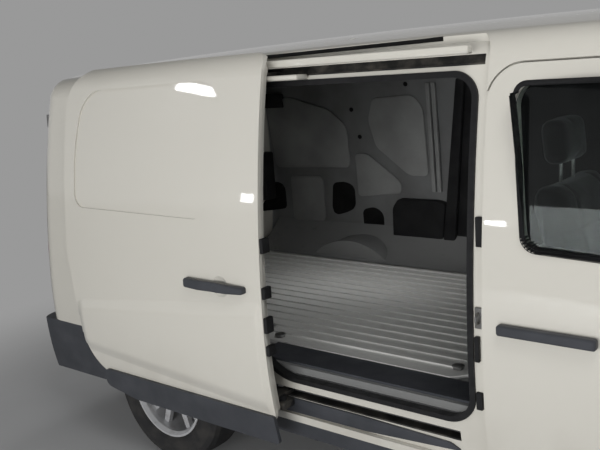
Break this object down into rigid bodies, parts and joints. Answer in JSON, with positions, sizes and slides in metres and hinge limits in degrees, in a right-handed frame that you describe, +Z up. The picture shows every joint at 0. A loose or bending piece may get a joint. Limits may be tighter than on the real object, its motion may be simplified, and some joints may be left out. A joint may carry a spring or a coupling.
{
  "type": "panel van",
  "caption": "Compact long panel van with hinged front doors, bonnet and rear doors, a side door run back on its rails, and a load floor with ribs.",
  "frame": {"origin": "on the ground under the middle of the van's length and width", "axes": "+X to the nose, +Y to the van's left side, +Z up"},
  "size_m": [4.9174, 2.158, 1.8598],
  "materials": {
    "paint": "glossy warm off-white body paint",
    "inner_paint": "pale grey inner panels",
    "black_plastic": "grained dark grey",
    "rubber": "black sealing rubber",
    "tyre": "worn tread",
    "glass": "clear, faintly tinted",
    "lamp": "red and clear lenses",
    "lamp_clear": "clear lens",
    "steel": "plain steel",
    "rim_alloy": "silver lacquer",
    "chassis_black": "satin black",
    "cast_metal": "bare casting",
    "floor_plate": "ribbed, slightly worn",
    "fabric": "dark grey cloth"
  },
  "bodies": {
    "bonnet": {"bonnet": "paint"},
    "root": {"dashboard": "black_plastic", "door_gear": "steel", "engine": "cast_metal", "entry_seal": "rubber", "firewall": "inner_paint", "floor_pan": "inner_paint", "front_bumper": "black_plastic", "front_wings": "paint", "grille": "black_plastic", "headlamps": "lamp_clear", "load_floor": "floor_plate", "rear_axle": "chassis_black", "rear_bumper": "black_plastic", "rear_hinges": "steel", "rear_lamps": "lamp", "roof": "paint", "scuttle_panel": "black_plastic", "seat_bases": "black_plastic", "seats": "fabric", "side_left": "paint", "side_right": "paint", "sill_mouldings": "black_plastic", "sliding_door": "paint", "sliding_door_trim": "black_plastic", "underframe": "chassis_black", "windscreen": "glass"},
    "front_door_left": {"front_door_left": "paint", "front_glass_left": "glass", "front_trim_left": "black_plastic"},
    "front_door_right": {"front_door_right": "paint", "front_glass_right": "glass", "front_trim_right": "black_plastic"},
    "knuckle_left": {"knuckle_left": "steel"},
    "knuckle_right": {"knuckle_right": "steel"},
    "rear_door_left": {"rear_door_left": "paint"},
    "rear_door_right": {"rear_door_right": "paint"},
    "wheel_front_left": {"rim_front_left": "rim_alloy", "tyre_front_left": "tyre"},
    "wheel_front_right": {"rim_front_right": "rim_alloy", "tyre_front_right": "tyre"},
    "wheel_rear_left": {"rim_rear_left": "rim_alloy", "tyre_rear_left": "tyre"},
    "wheel_rear_right": {"rim_rear_right": "rim_alloy", "tyre_rear_right": "tyre"}
  },
  "joints": [
    {"name": "bonnet_hinge", "type": "hinge", "parent": "root", "child": "bonnet", "pos_m": [1.38, 0, 0.985], "axis": [0, -1, 0], "range_deg": [0, 50]},
    {"name": "front_door_left_hinge", "type": "hinge", "parent": "root", "child": "front_door_left", "pos_m": [1.08, 0.86, 0.79], "axis": [0, 0, -1], "range_deg": [0, 70]},
    {"name": "front_door_right_hinge", "type": "hinge", "parent": "root", "child": "front_door_right", "pos_m": [1.08, -0.86, 0.79], "axis": [0, 0, 1], "range_deg": [0, 70]},
    {"name": "rear_door_left_hinge", "type": "hinge", "parent": "root", "child": "rear_door_left", "pos_m": [-2.38, 0.734, 0.898], "axis": [-0.0872, 0, -0.9962], "range_deg": [0, 180]},
    {"name": "rear_door_right_hinge", "type": "hinge", "parent": "root", "child": "rear_door_right", "pos_m": [-2.38, -0.734, 0.898], "axis": [0.0872, 0, 0.9962], "range_deg": [0, 180]},
    {"name": "steer_left", "type": "hinge", "parent": "root", "child": "knuckle_left", "pos_m": [1.565, 0.72, 0.326], "axis": [0, 0, 1], "range_deg": [-35, 35]},
    {"name": "roll_front_left", "type": "hinge", "parent": "knuckle_left", "child": "wheel_front_left", "pos_m": [1.565, 0.795, 0.326], "axis": [0, 1, 0], "continuous": true},
    {"name": "roll_rear_left", "type": "hinge", "parent": "root", "child": "wheel_rear_left", "pos_m": [-1.535, 0.795, 0.326], "axis": [0, 1, 0], "continuous": true},
    {"name": "steer_right", "type": "hinge", "parent": "root", "child": "knuckle_right", "pos_m": [1.565, -0.72, 0.326], "axis": [0, 0, 1], "range_deg": [-35, 35]},
    {"name": "roll_front_right", "type": "hinge", "parent": "knuckle_right", "child": "wheel_front_right", "pos_m": [1.565, -0.795, 0.326], "axis": [0, 1, 0], "continuous": true},
    {"name": "roll_rear_right", "type": "hinge", "parent": "root", "child": "wheel_rear_right", "pos_m": [-1.535, -0.795, 0.326], "axis": [0, 1, 0], "continuous": true}
  ],
  "couplings": [
    {"joint": "steer_right", "follows": "steer_left", "ratio": 1}
  ]
}
